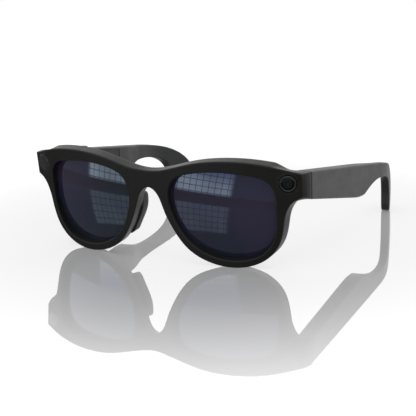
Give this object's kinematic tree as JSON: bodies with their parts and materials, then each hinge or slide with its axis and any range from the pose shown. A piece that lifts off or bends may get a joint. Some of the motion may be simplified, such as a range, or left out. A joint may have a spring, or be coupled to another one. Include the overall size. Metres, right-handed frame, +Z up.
{
  "type": "smart glasses",
  "caption": "Smart glasses: bowed rims with tinted lenses, a camera and a light in the endpieces, thick folding temples with electronics bays, a capture button and a power switch.",
  "frame": {"origin": "on the table plane under the middle of the whole part's box, temples open", "axes": "+X to the wearer's left, -Y forward from the wearer, +Z up; the rims and the temple tips stand on z = 0"},
  "size_m": [0.1516, 0.1503, 0.0528],
  "materials": {
    "frame_black": "satin moulded, fine grain",
    "temple_black": "satin moulded, fine grain, slightly lighter than the front",
    "cover_black": "fine matt moulded",
    "pad_black": "soft-touch matt",
    "lens_tint": "dark tinted lens with a reflective hard coat",
    "bezel_black": "glossy ring",
    "camera_glass": "coated cover glass, faint green tint",
    "barrel_black": "matt black lens barrel",
    "light_glass": "dark smoked window",
    "light_clear": "clear light guide",
    "circuit_board": "solder-masked board",
    "flex_amber": "polyimide film",
    "contact_gold": "gold-plated contacts",
    "microphone_metal": "nickel-plated can",
    "battery_foil": "pouch foil",
    "switch_metal": "stamped steel",
    "shield_metal": "tinned shield",
    "speaker_metal": "black-painted box",
    "grille_black": "black perforated plate",
    "control_black": "satin hard plastic",
    "hinge_steel": "stainless",
    "screw_steel": "blackened stainless",
    "core_steel": "nickel silver wire"
  },
  "bodies": {
    "front": {"front_frame": "frame_black", "brow_cover": "cover_black", "lens_left": "lens_tint", "lens_right": "lens_tint", "nose_pad_left": "pad_black", "nose_pad_right": "pad_black", "camera_bezel": "bezel_black", "camera_window": "camera_glass", "camera_barrel": "barrel_black", "camera_lens_element": "camera_glass", "camera_sensor_board": "circuit_board", "light_window": "light_glass", "light_guide": "light_clear", "light_board": "circuit_board", "front_flex": "flex_amber", "bridge_microphone": "microphone_metal", "charge_contacts": "contact_gold", "hinge_front_leaf_left": "hinge_steel", "hinge_front_leaf_right": "hinge_steel", "hinge_front_screws_left": "screw_steel", "hinge_front_screws_right": "screw_steel", "hinge_pin_left": "hinge_steel", "hinge_pin_right": "hinge_steel"},
    "temple_left": {"temple_shell_left": "temple_black", "temple_cover_left": "cover_black", "hinge_temple_leaf_left": "hinge_steel", "hinge_temple_screws_left": "screw_steel", "speaker_left": "speaker_metal", "speaker_grille_left": "grille_black", "microphone_left": "microphone_metal", "core_wire_left": "core_steel", "cover_screws_left": "screw_steel", "battery": "battery_foil", "power_board": "circuit_board", "power_switch": "switch_metal"},
    "power_slider": {"power_switch_slider": "control_black"},
    "temple_right": {"temple_shell_right": "temple_black", "temple_cover_right": "cover_black", "hinge_temple_leaf_right": "hinge_steel", "hinge_temple_screws_right": "screw_steel", "speaker_right": "speaker_metal", "speaker_grille_right": "grille_black", "microphone_right": "microphone_metal", "core_wire_right": "core_steel", "cover_screws_right": "screw_steel", "main_board": "circuit_board", "processor_shield": "shield_metal", "touchpad_flex": "flex_amber", "antenna": "flex_amber", "capture_switch": "switch_metal"},
    "capture_button": {"capture_button": "control_black"}
  },
  "joints": [
    {"name": "temple_left_fold", "type": "hinge", "parent": "front", "child": "temple_left", "pos_m": [0.0674, -0.05045, 0.0354], "axis": [0, 0, 1], "range_deg": [0, 87]},
    {"name": "temple_right_fold", "type": "hinge", "parent": "front", "child": "temple_right", "pos_m": [-0.0674, -0.05045, 0.0354], "axis": [0, 0, -1], "range_deg": [0, 69]},
    {"name": "capture_button_press", "type": "slide", "parent": "temple_right", "child": "capture_button", "axis": [0, -0.1454, -0.9894], "range_m": [0, 0.0004], "stiffness_N_per_m": 400, "springref_m": -0.0012},
    {"name": "power_switch_slide", "type": "slide", "parent": "temple_left", "child": "power_slider", "axis": [0, 0.9848, -0.1738], "range_m": [0, 0.0022]}
  ]
}
